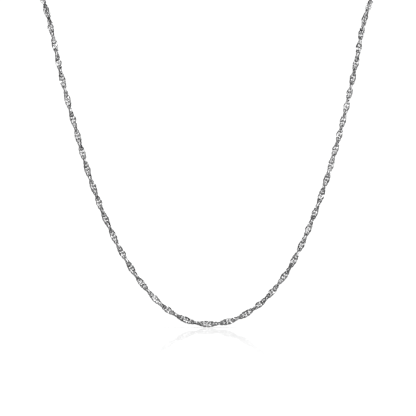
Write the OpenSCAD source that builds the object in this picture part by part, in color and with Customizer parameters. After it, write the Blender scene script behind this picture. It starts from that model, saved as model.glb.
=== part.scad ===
// Singapore chain necklace, in millimetres.
// The origin is the middle of the clasp, where the necklace lies on the nape.
// +Z is up, +X is the wearer's left, and the front drop hangs at -Y.
// The round tube is the chain's outer form: a twisted band of tiny oval links just fills it.

/* [Chain] */
// Width across the twisted chain where a flat of it faces out
chain_w = 1.5; // [1:0.1:2.2]
// Room between each end of the chain and the ring beside it
chain_gap = 0.15; // [0.1:0.05:0.3]

/* [Clasp] */
// Outside diameter of the clasp's ring
clasp_od = 5.5; // [5:0.25:8]
// Thickness of the clasp's ring
clasp_wire = 1.1; // [0.8:0.05:1.3]
// Thickness of the wire of the eye that is soldered to the clasp
eye_wire = 0.6; // [0.4:0.05:0.7]
// Room round the jump ring in the eye
eye_play = 0.2; // [0.15:0.05:0.4]
// Depth that the eye is soldered into the clasp's ring
eye_sink = 0.3; // [0.15:0.05:0.4]
// Thickness of the thumb knob's stem
knob_stem = 0.6; // [0.4:0.05:0.8]
// Diameter of the thumb knob
knob_d = 1; // [0.8:0.1:1.4]
// Height of the knob's middle above the clasp's ring
knob_rise = 0.6; // [0.4:0.1:1.2]
// Place of the knob round the ring, in degrees up from the end ring's side
knob_angle = 55; // [35:5:120]

/* [Rings] */
// Outside diameter of the jump ring between the clasp's eye and the chain
jump_od = 3; // [2.8:0.1:4]
// Thickness of the jump ring's wire
jump_wire = 0.5; // [0.4:0.05:0.55]
// Outside diameter of the end ring, which the clasp closes on
end_od = 4; // [3.8:0.1:5.5]
// Thickness of the end ring's wire
end_wire = 0.6; // [0.4:0.05:0.7]
// Room between two rings where one hangs in the other
seat_gap = 0.12; // [0.1:0.01:0.15]

/* [Hidden] */

ring_fn = 72;
wire_fn = 32;
tube_sides = 8;
rings_per_span = 2;

// The clasp's ring and the eye soldered to its side, both standing in the XZ plane
clasp_r = (clasp_od - clasp_wire) / 2;
eye_od = jump_wire + 2 * eye_play + 2 * eye_wire;
eye_r = (eye_od - eye_wire) / 2;
eye_x = -clasp_od / 2 - eye_od / 2 + eye_sink;

// The jump ring hangs in the eye, and the end ring in the clasp, both lying in the XY plane
jump_r = (jump_od - jump_wire) / 2;
jump_x = eye_x - eye_r + eye_wire / 2 + seat_gap + jump_wire / 2 - jump_r;
end_r = (end_od - end_wire) / 2;
end_x = clasp_r - clasp_wire / 2 - seat_gap - end_wire / 2 + end_r;

// The chain starts beside the jump ring and stops beside the end ring, and leaves both along X
chain_start = [jump_x - jump_od / 2 - chain_gap, 0, 0];
chain_stop = [end_x + end_od / 2 + chain_gap, 0, 0];
end_direction = [-1, 0, 0];
loop_middle = [0, -50, -50];

// The route of the chain, from the jump ring round the neck, down the front and back to the end ring
route = [
    chain_start,
    [-17, -2.5, 0], [-31, -8.5, -0.5], [-43, -18.5, -1.5], [-51, -31, -2.5], [-54.5, -45, -4],
    [-54, -59.5, -6.5], [-50.5, -73, -10.5], [-45.5, -84, -17], [-40.2, -92, -25.5],
    [-37.4, -97, -35], [-34.9, -98.7, -46], [-31.9, -99, -57], [-28.7, -99, -68],
    [-25, -99, -78], [-20.7, -99, -87], [-15.8, -99, -94.5], [-10.3, -99, -100.2],
    [-4, -99, -103.5], [3, -99, -103.8],
    [9.6, -99, -101.2], [15.2, -99, -96.3], [20, -99, -89.5], [24, -99, -81],
    [27.4, -99, -72], [30.4, -99, -62], [33, -99, -52], [35.4, -98.3, -41],
    [37.6, -95.5, -30.5], [41.4, -89.5, -21.5], [46.6, -80.5, -14.5], [51.2, -70, -9.5],
    [54, -57.5, -6], [54.5, -44.5, -4], [51, -31, -2.5], [43, -18.5, -1.5],
    [31, -8.5, -0.5], [17, -2.5, 0],
    chain_stop
];
spans = len(route) - 1;

function unit(v) = v / norm(v);
function span_length(i) = norm(route[i + 1] - route[i]);

// Direction of the chain at a route point, from its two neighbours
function direction(i) =
    i == 0 || i == spans
        ? end_direction
        : (route[i + 1] - route[i - 1]) / (span_length(i - 1) + span_length(i));

// A smooth cubic between two route points, with t running from 0 to 1
function on_span(i, t) =
    (2 * t * t * t - 3 * t * t + 1) * route[i]
    + (t * t * t - 2 * t * t + t) * span_length(i) * direction(i)
    + (3 * t * t - 2 * t * t * t) * route[i + 1]
    + (t * t * t - t * t) * span_length(i) * direction(i + 1);

path = [
    for (i = [0 : spans - 1], k = [0 : rings_per_span - 1]) on_span(i, k / rings_per_span),
    route[spans]
];
last_ring = len(path) - 1;

function heading(j) =
    j == 0 || j == last_ring ? end_direction : unit(path[j + 1] - path[j - 1]);

// One ring of the tube, square to the path, counted round from the side that faces out of the loop
function tube_ring(j) =
    let (along = heading(j))
    let (across = unit(cross(along, loop_middle - path[j])))
    let (inward = cross(across, along))
    [
        for (s = [0 : tube_sides - 1])
            let (a = 360 * s / tube_sides)
            path[j] + chain_w / 2 * (cos(a) * across + sin(a) * inward)
    ];

module chain() {
    corner = function (j, s) j * tube_sides + s % tube_sides;
    walls = [
        for (j = [0 : last_ring - 1], s = [0 : tube_sides - 1])
            each [
                [corner(j, s), corner(j + 1, s), corner(j + 1, s + 1)],
                [corner(j, s), corner(j + 1, s + 1), corner(j, s + 1)]
            ]
    ];
    first_cap = [for (s = [0 : tube_sides - 1]) corner(0, s)];
    last_cap = [for (s = [tube_sides - 1 : -1 : 0]) corner(last_ring, s)];
    color("silver")
        polyhedron(
            points = [for (j = [0 : last_ring]) each tube_ring(j)],
            faces = concat(walls, [first_cap, last_cap])
        );
}

module wire_ring(r, wire) {
    rotate_extrude($fn = ring_fn) translate([r, 0]) circle(d = wire, $fn = wire_fn);
}

// A spring ring, closed, with its soldered eye and its thumb knob
module clasp() {
    color("lightgray") {
        rotate([90, 0, 0]) wire_ring(clasp_r, clasp_wire);
        translate([eye_x, 0, 0]) rotate([90, 0, 0]) wire_ring(eye_r, eye_wire);
        rotate([0, -knob_angle, 0]) translate([clasp_r, 0, 0]) {
            rotate([0, 90, 0]) cylinder(d = knob_stem, h = clasp_wire / 2 + knob_rise, $fn = wire_fn);
            translate([clasp_wire / 2 + knob_rise, 0, 0]) sphere(d = knob_d, $fn = wire_fn);
        }
    }
}

module jump_ring() {
    color("silver") translate([jump_x, 0, 0]) wire_ring(jump_r, jump_wire);
}

module end_ring() {
    color("silver") translate([end_x, 0, 0]) wire_ring(end_r, end_wire);
}

chain();
clasp();
jump_ring();
end_ring();
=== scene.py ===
import math

import bpy
import numpy as np
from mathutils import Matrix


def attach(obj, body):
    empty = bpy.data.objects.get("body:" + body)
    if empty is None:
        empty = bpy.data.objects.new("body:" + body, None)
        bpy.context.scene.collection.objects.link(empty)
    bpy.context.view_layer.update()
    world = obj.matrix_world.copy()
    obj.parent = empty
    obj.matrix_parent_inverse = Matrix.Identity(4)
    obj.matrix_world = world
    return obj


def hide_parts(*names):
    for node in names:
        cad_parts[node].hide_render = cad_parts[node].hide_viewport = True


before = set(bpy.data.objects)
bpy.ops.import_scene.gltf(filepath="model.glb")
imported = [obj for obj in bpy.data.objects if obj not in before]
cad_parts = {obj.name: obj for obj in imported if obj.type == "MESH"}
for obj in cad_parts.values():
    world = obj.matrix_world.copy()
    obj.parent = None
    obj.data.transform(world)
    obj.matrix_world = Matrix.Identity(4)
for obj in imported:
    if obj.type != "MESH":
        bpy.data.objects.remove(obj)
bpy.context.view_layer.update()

# The camera looks level at the front drop through a long lens, as in the photograph: a pixel
# of its 416 pixel frame is 0.24 mm wide at the drop, and the lowest link is at row 324.
PIXEL = 0.0002394
FRAME_PX = 416
MIDDLE_COLUMN = 208.6
LOWEST_ROW = 324.0
LOWEST_Z = -0.104
FRONT_Y = -0.099
CAMERA_AWAY = 0.9
SENSOR_MM = 36

eye_side = (FRAME_PX / 2 - MIDDLE_COLUMN) * PIXEL
eye_height = LOWEST_Z + (LOWEST_ROW - FRAME_PX / 2) * PIXEL
camera = bpy.data.objects.new("camera", bpy.data.cameras.new("camera"))
camera.data.sensor_width = SENSOR_MM
camera.data.lens = SENSOR_MM * CAMERA_AWAY / (FRAME_PX * PIXEL)
camera.data.clip_start = 0.01
camera.data.clip_end = 50
camera.location = (eye_side, FRONT_Y - CAMERA_AWAY, eye_height)
camera.rotation_euler = (math.pi / 2, 0, 0)
bpy.context.collection.objects.link(camera)
bpy.context.scene.camera = camera


# The chain: some 640 oval links of thin silver wire, each soldered shut, cut to small flats,
# plated with rhodium and polished. Every link passes through the two before it, and each is set
# on at a small angle to the last, so that the band twists and ripples from waist to waist.
WIRE = 0.00028
LINK_LONG = 0.0018
LINK_WIDE = 0.00128
LINK_LEAN = math.radians(8)
LINK_TWIST = math.radians(28)
LINK_PLAY = math.radians(1.5)
LINK_SIDES = 14
WIRE_SIDES = 6
LINK_ROOM = 0.00003
END_HOLD = 0.00040
END_ROOM = 0.00013
PITCH = 0.00070
CHAIN_GAP = 0.00015
JUMP_WIRE = 0.0005
END_WIRE = 0.0006
HALF_TURN = 0.0042
PLAY_SEED = 5
TONE_SEED = 7

# The route, in metres, from the jump ring round the neck, down the front and back to the end ring
ROUTE_STEPS = 24
LOOP_MIDDLE = np.array([0, -0.050, -0.050])
NAPE_DIRECTION = np.array([-1.0, 0, 0])
ROUTE = np.array([
    (-0.00648, 0, 0), (-0.017, -0.0025, 0), (-0.031, -0.0085, -0.0005), (-0.043, -0.0185, -0.0015),
    (-0.051, -0.031, -0.0025), (-0.0545, -0.045, -0.004), (-0.054, -0.0595, -0.0065),
    (-0.0505, -0.073, -0.0105), (-0.0455, -0.084, -0.017), (-0.0402, -0.092, -0.0255),
    (-0.0374, -0.097, -0.035), (-0.0349, -0.0987, -0.046), (-0.0319, -0.099, -0.057),
    (-0.0287, -0.099, -0.068), (-0.025, -0.099, -0.078), (-0.0207, -0.099, -0.087),
    (-0.0158, -0.099, -0.0945), (-0.0103, -0.099, -0.1002), (-0.004, -0.099, -0.1035),
    (0.003, -0.099, -0.1038), (0.0096, -0.099, -0.1012), (0.0152, -0.099, -0.0963),
    (0.020, -0.099, -0.0895), (0.024, -0.099, -0.081), (0.0274, -0.099, -0.072),
    (0.0304, -0.099, -0.062), (0.033, -0.099, -0.052), (0.0354, -0.0983, -0.041),
    (0.0376, -0.0955, -0.0305), (0.0414, -0.0895, -0.0215), (0.0466, -0.0805, -0.0145),
    (0.0512, -0.070, -0.0095), (0.054, -0.0575, -0.006), (0.0545, -0.0445, -0.004),
    (0.051, -0.031, -0.0025), (0.043, -0.0185, -0.0015), (0.031, -0.0085, -0.0005),
    (0.017, -0.0025, 0), (0.00508, 0, 0),
])

# The waists of the twist that show in the photograph, in millimetres along the chain from its
# lowest point
WAISTS_MM = np.array([
    -87.9, -83.4, -78.6, -74.6, -69.7, -64.7, -60.1, -56.0, -52.2, -47.6, -43.3, -39.4, -35.0,
    -30.5, -26.2, -21.8, -17.1, -12.6, -8.6, -3.1, 2.2, 7.0, 11.5, 15.3, 19.8, 24.5, 28.9, 32.9,
    37.1, 41.1, 45.9, 49.5, 53.2, 57.0, 60.4, 64.0, 67.4, 70.8, 74.5, 78.3, 82.0, 85.9, 89.6,
])


def smooth_route(points, steps):
    """A smooth cubic through the points. On a span from P to Q, of length d, it is
    (2t^3 - 3t^2 + 1) P + (t^3 - 2t^2 + t) d m + (3t^2 - 2t^3) Q + (t^3 - t^2) d n, with m and n
    the directions at its ends. The direction at a point is (next - last) / (d + d')."""
    span = np.linalg.norm(np.diff(points, axis=0), axis=1)
    way = np.empty_like(points)
    way[1:-1] = (points[2:] - points[:-2]) / (span[1:] + span[:-1])[:, None]
    way[[0, -1]] = NAPE_DIRECTION
    t = (np.arange(steps) / steps)[None, :, None]
    p, q = points[:-1, None], points[1:, None]
    m, n = (span[:, None] * way[:-1])[:, None], (span[:, None] * way[1:])[:, None]
    curve = ((2 * t**3 - 3 * t**2 + 1) * p + (t**3 - 2 * t**2 + t) * m
             + (3 * t**2 - 2 * t**3) * q + (t**3 - t**2) * n)
    return np.vstack([curve.reshape(-1, 3), points[-1:]])


def unit(v):
    """v / |v|, row by row."""
    return v / np.linalg.norm(v, axis=-1, keepdims=True)


def band_frames(path):
    """Along the path: its length s, its direction T, and a pair N, B square to it that doesn't
    roll. N starts as T x (middle - P) and is turned back by the integral of dN/ds . B."""
    s = np.concatenate([[0], np.cumsum(np.linalg.norm(np.diff(path, axis=0), axis=1))])
    along = unit(np.gradient(path, s, axis=0))
    along[[0, -1]] = NAPE_DIRECTION
    n = unit(np.cross(along, LOOP_MIDDLE - path))
    b = np.cross(along, n)
    roll = np.sum(np.diff(n, axis=0) * (b[1:] + b[:-1]) / 2, axis=1)
    back = -np.concatenate([[0], np.cumsum(roll)])[:, None]
    return s, along, np.cos(back) * n + np.sin(back) * b, np.cos(back) * b - np.sin(back) * n


def angle_of(direction, n, b):
    """The angle of a direction from N towards B."""
    return np.arctan2(np.sum(direction * b, axis=-1), np.sum(direction * n, axis=-1))


def twist_angle(s, n, b, lowest):
    """Angle of the band's width from N. It falls by pi from one waist to the next, where the width
    points along Y, and runs on evenly over the neck, to a link that stands upright at each ring."""
    at = s[lowest] + WAISTS_MM / 1000
    turns = np.arange(len(at))
    start = angle_of(np.array([0, 1.0, 0]), n[lowest], b[lowest])

    def turns_at(end):
        """Half turns done at an end of the chain: an even run on from the last waist that shows,
        (s - waist) / HALF_TURN, rounded so that the angle there is the upright one."""
        upright = angle_of(np.array([0, 0, 1.0]), n[end], b[end])
        part = ((start - upright) / np.pi) % 1
        return np.round(turns[end] + (s[end] - at[end]) / HALF_TURN - part) + part

    knots = np.concatenate([[s[0]], at, [s[-1]]])
    return start - np.pi * np.interp(s, knots, [turns_at(0), *turns, turns_at(-1)])


def link_curve():
    """An oval (a cos t, b sin t, 0), leaned in its own plane and then twisted about its length
    by LINK_TWIST * u / 2a, so that its two ends stand turned against each other."""
    t = 2 * np.pi * np.arange(LINK_SIDES) / LINK_SIDES
    u, v = LINK_LONG / 2 * np.cos(t), LINK_WIDE / 2 * np.sin(t)
    u, v = (np.cos(LINK_LEAN) * u - np.sin(LINK_LEAN) * v,
            np.sin(LINK_LEAN) * u + np.cos(LINK_LEAN) * v)
    turn = LINK_TWIST * u / LINK_LONG
    return np.stack([u, v * np.cos(turn), v * np.sin(turn)], axis=1)


def link_places(length):
    """Where the links are along the chain, and how long they are. The second link at each end
    stops short of the ring, and all between follow at one even pitch. The end link is longer: it
    runs from round the ring's wire to END_HOLD inside the third link."""
    reach = LINK_LONG / 2 + WIRE / 2 + LINK_ROOM - CHAIN_GAP
    count = int(round((length - 2 * reach) / PITCH)) + 1
    between = np.linspace(reach, length - reach, count)
    inner = reach + PITCH - LINK_LONG / 2 + END_HOLD
    outer = CHAIN_GAP + np.array([JUMP_WIRE, END_WIRE]) + WIRE / 2 + END_ROOM
    first, last = (inner - outer) / 2
    long = np.full(count + 2, LINK_LONG)
    long[[0, -1]] = inner + outer
    return np.concatenate([[first], between, [length - last]]), long


def wire_mesh(name, centre):
    """A round wire swept along many closed curves at once: each ring of it is
    C + r (cos a E + sin a F), with E pointing out of its own link and F = tangent x E. Its sides
    are left flat, as the small flats that are cut on the links."""
    links, sides = centre.shape[:2]
    tangent = unit(np.roll(centre, -1, axis=1) - np.roll(centre, 1, axis=1))
    out = centre - centre.mean(axis=1, keepdims=True)
    e = unit(out - np.sum(out * tangent, axis=-1, keepdims=True) * tangent)
    f = np.cross(tangent, e)
    a = (2 * np.pi * np.arange(WIRE_SIDES) / WIRE_SIDES)[None, None, :, None]
    spokes = np.cos(a) * e[:, :, None] + np.sin(a) * f[:, :, None]
    points = centre[:, :, None] + WIRE / 2 * spokes
    i, j = np.meshgrid(np.arange(sides), np.arange(WIRE_SIDES), indexing="ij")
    i1, j1 = (i + 1) % sides, (j + 1) % WIRE_SIDES
    quad = np.stack([i * WIRE_SIDES + j, i * WIRE_SIDES + j1,
                     i1 * WIRE_SIDES + j1, i1 * WIRE_SIDES + j], axis=-1)
    quads = quad.reshape(1, -1, 4) + (np.arange(links) * sides * WIRE_SIDES)[:, None, None]
    mesh = bpy.data.meshes.new(name)
    mesh.from_pydata(points.reshape(-1, 3), [], quads.reshape(-1, 4).tolist())
    mesh.shade_flat()
    return mesh


def make_chain():
    """Every link is the one curve set on the chain's frame: P + u T + v V + w (T x V), with a
    little play in its turn and its two tilts, but for the two links at each end."""
    path = smooth_route(ROUTE, ROUTE_STEPS)
    s, along, n, b = band_frames(path)
    lowest = int(np.argmin(path[:, 2]))
    angle = twist_angle(s, n, b, lowest)
    at, long = link_places(s[-1])

    def here(values):
        """The values along the path, read off at each link."""
        return np.stack([np.interp(at, s, values[:, k]) for k in range(3)], axis=1)

    t = unit(here(along))
    middle = here(path) + (at - np.clip(at, s[0], s[-1]))[:, None] * t
    play = np.random.default_rng(PLAY_SEED).uniform(-LINK_PLAY, LINK_PLAY, (3, len(at), 1))
    play[:, [0, 1, -2, -1]] = 0
    turn = np.interp(at, s, angle)[:, None] + play[0]
    v = unit(np.cross(here(b), t) * np.cos(turn) + here(b) * np.sin(turn))
    v = unit(v - np.sum(v * t, axis=1, keepdims=True) * t)
    w = np.cross(t, v)
    t, v = np.cos(play[1]) * t + np.sin(play[1]) * v, np.cos(play[1]) * v - np.sin(play[1]) * t
    t, w = np.cos(play[2]) * t + np.sin(play[2]) * w, np.cos(play[2]) * w - np.sin(play[2]) * t
    u = link_curve()[None, :, :, None]
    stretch = (long / LINK_LONG)[:, None, None]
    centre = (middle[:, None] + stretch * u[:, :, 0] * t[:, None] + u[:, :, 1] * v[:, None]
              + u[:, :, 2] * w[:, None])
    mesh = wire_mesh("chain_links", centre)
    tone = np.random.default_rng(TONE_SEED).random(len(at))
    layer = mesh.attributes.new("link_tone", "FLOAT", "POINT")
    layer.data.foreach_set("value", np.repeat(tone, LINK_SIDES * WIRE_SIDES).astype(np.float32))
    return bpy.data.objects.new("chain_links", mesh)


DARK_PLATE = (0.35, 0.35, 0.355, 1)
BRIGHT_PLATE = (0.95, 0.95, 0.955, 1)
BEST_POLISH = 0.03
WORST_POLISH = 0.08
WAVERS_PER_M = 900
GRAINS_PER_M = 9000
GRAIN_DEPTH = 0.00002
GRAIN_STRENGTH = 0.05


def rhodium(name, tone_attribute):
    """Bright rhodium plate: white metal whose polish wavers a little from spot to spot. It is
    darker or brighter by the tone attribute, or where there is none by the same waver."""
    material = bpy.data.materials.new(name)
    material.use_nodes = True
    nodes, wires = material.node_tree.nodes, material.node_tree.links
    shader = nodes["Principled BSDF"]
    shader.inputs["Metallic"].default_value = 1
    place = nodes.new("ShaderNodeTexCoord")

    waver = nodes.new("ShaderNodeTexNoise")
    waver.inputs["Scale"].default_value = WAVERS_PER_M
    waver.inputs["Detail"].default_value = 4
    wires.new(place.outputs["Object"], waver.inputs["Vector"])

    polish = nodes.new("ShaderNodeMapRange")
    polish.inputs["To Min"].default_value = BEST_POLISH
    polish.inputs["To Max"].default_value = WORST_POLISH
    wires.new(waver.outputs["Fac"], polish.inputs["Value"])
    wires.new(polish.outputs["Result"], shader.inputs["Roughness"])

    colour = nodes.new("ShaderNodeValToRGB")
    colour.color_ramp.elements[0].color = DARK_PLATE
    colour.color_ramp.elements[1].color = BRIGHT_PLATE
    if tone_attribute:
        tone = nodes.new("ShaderNodeAttribute")
        tone.attribute_name = tone_attribute
        wires.new(tone.outputs["Fac"], colour.inputs["Fac"])
    else:
        wires.new(waver.outputs["Fac"], colour.inputs["Fac"])
    wires.new(colour.outputs["Color"], shader.inputs["Base Color"])

    grain = nodes.new("ShaderNodeTexNoise")
    grain.inputs["Scale"].default_value = GRAINS_PER_M
    grain.inputs["Detail"].default_value = 2
    wires.new(place.outputs["Object"], grain.inputs["Vector"])
    relief = nodes.new("ShaderNodeBump")
    relief.inputs["Strength"].default_value = GRAIN_STRENGTH
    relief.inputs["Distance"].default_value = GRAIN_DEPTH
    wires.new(grain.outputs["Fac"], relief.inputs["Height"])
    wires.new(relief.outputs["Normal"], shader.inputs["Normal"])
    return material


chain_links = make_chain()
bpy.context.collection.objects.link(chain_links)
chain_links.data.materials.append(rhodium("chain_rhodium", "link_tone"))
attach(chain_links, "root")
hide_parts("chain")


# The clasp and its two small rings: a plain closed spring ring, and two rings of round wire
# soldered shut. They are plated and polished like the chain, and keep their modelled shapes.
fittings_metal = rhodium("fittings_rhodium", None)
for name in ("clasp", "jump_ring", "end_ring"):
    fitting = bpy.data.objects[name]
    for slot in fitting.material_slots:
        slot.material = fittings_metal


# The studio: a white table just under the lowest link, which mirrors it faintly, a white backdrop
# and a low pale rim all round. Above them the metal mirrors a dark room, with soft lamps over its
# front half that are dimmer at the very front.
FLOOR_ROW = 327.6
FLOOR_SIZE = 6
floor_z = eye_height - (FLOOR_ROW - FRAME_PX / 2) * PIXEL
half = FLOOR_SIZE / 2
floor_mesh = bpy.data.meshes.new("floor")
floor_mesh.from_pydata([(-half, -half, floor_z), (half, -half, floor_z), (half, half, floor_z),
                        (-half, half, floor_z)], [], [(0, 1, 2, 3)])
floor = bpy.data.objects.new("floor", floor_mesh)
bpy.context.collection.objects.link(floor)


def fade(tree, value, ends, levels):
    """A smooth step from level a to level b as the value runs from end to end, with t from 0 to 1:
    a + (b - a) (3t^2 - 2t^3), and level outside the ends."""
    step = tree.nodes.new("ShaderNodeMapRange")
    step.interpolation_type = "SMOOTHSTEP"
    step.inputs["From Min"].default_value, step.inputs["From Max"].default_value = ends
    step.inputs["To Min"].default_value, step.inputs["To Max"].default_value = levels
    tree.links.new(value, step.inputs["Value"])
    return step.outputs["Result"]


def joined(tree, operation, first, second):
    """Two values made one: their product, or the larger of the two."""
    node = tree.nodes.new("ShaderNodeMath")
    node.operation = operation
    tree.links.new(first, node.inputs[0])
    tree.links.new(second, node.inputs[1])
    return node.outputs[0]


# The table is matt white, with a gloss that shows at grazing angles under the drop and fades out
# away from it. The metal sees it grey.
TABLE_WHITE = (1, 1, 1, 1)
TABLE_IN_METAL = (0.27, 0.27, 0.27, 1)
TABLE_GLOSS = 0.31
TABLE_POLISH = 0.03
GLOSS_REACH = 0.35
GRAZING_POWER = 6

table = bpy.data.materials.new("white_table")
table.use_nodes = True
tree = table.node_tree
nodes, wires = tree.nodes, tree.links
nodes.clear()
rays = nodes.new("ShaderNodeLightPath")
shade = nodes.new("ShaderNodeMix")
shade.data_type = "RGBA"
shade.inputs["A"].default_value = TABLE_WHITE
shade.inputs["B"].default_value = TABLE_IN_METAL
wires.new(rays.outputs["Is Glossy Ray"], shade.inputs["Factor"])
white = nodes.new("ShaderNodeBsdfDiffuse")
wires.new(shade.outputs["Result"], white.inputs["Color"])
gloss = nodes.new("ShaderNodeBsdfGlossy")
gloss.inputs["Roughness"].default_value = TABLE_POLISH
where = nodes.new("ShaderNodeTexCoord")
away = nodes.new("ShaderNodeVectorMath")
away.operation = "DISTANCE"
away.inputs[1].default_value = (0, FRONT_Y, floor_z)
wires.new(where.outputs["Object"], away.inputs[0])
polish = fade(tree, away.outputs["Value"], (0, GLOSS_REACH), (TABLE_GLOSS, 0))
grazing = nodes.new("ShaderNodeLayerWeight")
steep = nodes.new("ShaderNodeMath")
steep.operation = "POWER"
steep.inputs[1].default_value = GRAZING_POWER
wires.new(grazing.outputs["Facing"], steep.inputs[0])
blend = nodes.new("ShaderNodeMixShader")
wires.new(joined(tree, "MULTIPLY", polish, steep.outputs[0]), blend.inputs["Fac"])
wires.new(white.outputs[0], blend.inputs[1])
wires.new(gloss.outputs[0], blend.inputs[2])
surface = nodes.new("ShaderNodeOutputMaterial")
wires.new(blend.outputs[0], surface.inputs["Surface"])
floor_mesh.materials.append(table)

# The room round it: the metal and the gloss see its lamps, backdrop and rim, and all else gets
# plain white light. A pair of ends says where a light's fade begins and ends, as a part of the
# direction along Y or Z, or for the lamps as a level of the noise that places them.
LAMPS_ACROSS = 5
LAMP_ENDS = (0.49, 0.53)
LAMP_LIGHT = 2
FRONT_HALF_ENDS = (-0.2, 0.3)
VERY_FRONT_ENDS = (-1, -0.75)
VERY_FRONT_SHARE = 0.2
ROOM_LIGHT = 0.01
BACKDROP_ENDS = (0.91, 0.97)
BACKDROP_LIGHT = 1.1
RIM_ENDS = (0.08, 0.12)
RIM_LIGHT = 0.95
PLAIN_LIGHT = 1.13

world = bpy.data.worlds.new("room")
bpy.context.scene.world = world
world.use_nodes = True
tree = world.node_tree
nodes, wires = tree.nodes, tree.links
nodes.clear()
direction = nodes.new("ShaderNodeTexCoord")
split = nodes.new("ShaderNodeSeparateXYZ")
wires.new(direction.outputs["Generated"], split.inputs[0])

soft_lamps = nodes.new("ShaderNodeTexNoise")
soft_lamps.inputs["Scale"].default_value = LAMPS_ACROSS
soft_lamps.inputs["Detail"].default_value = 0
wires.new(direction.outputs["Generated"], soft_lamps.inputs["Vector"])
lamps = fade(tree, soft_lamps.outputs["Fac"], LAMP_ENDS, (0, LAMP_LIGHT))
front_half = fade(tree, split.outputs["Y"], FRONT_HALF_ENDS, (1, 0))
very_front = fade(tree, split.outputs["Y"], VERY_FRONT_ENDS, (VERY_FRONT_SHARE, 1))
lit = nodes.new("ShaderNodeMath")
lit.operation = "MULTIPLY_ADD"
lit.inputs[2].default_value = ROOM_LIGHT
wires.new(joined(tree, "MULTIPLY", lamps, very_front), lit.inputs[0])
wires.new(front_half, lit.inputs[1])

backdrop = fade(tree, split.outputs["Y"], BACKDROP_ENDS, (0, BACKDROP_LIGHT))
rim = fade(tree, split.outputs["Z"], RIM_ENDS, (RIM_LIGHT, 0))
walls = joined(tree, "MAXIMUM", backdrop, rim)
room = nodes.new("ShaderNodeBackground")
wires.new(joined(tree, "MAXIMUM", lit.outputs[0], walls), room.inputs["Color"])
plain = nodes.new("ShaderNodeBackground")
plain.inputs["Color"].default_value = (1, 1, 1, 1)
plain.inputs["Strength"].default_value = PLAIN_LIGHT
rays = nodes.new("ShaderNodeLightPath")
choose = nodes.new("ShaderNodeMixShader")
wires.new(rays.outputs["Is Glossy Ray"], choose.inputs["Fac"])
wires.new(plain.outputs[0], choose.inputs[1])
wires.new(room.outputs[0], choose.inputs[2])
sky = nodes.new("ShaderNodeOutputWorld")
wires.new(choose.outputs[0], sky.inputs["Surface"])
bpy.context.scene.view_settings.view_transform = "Standard"
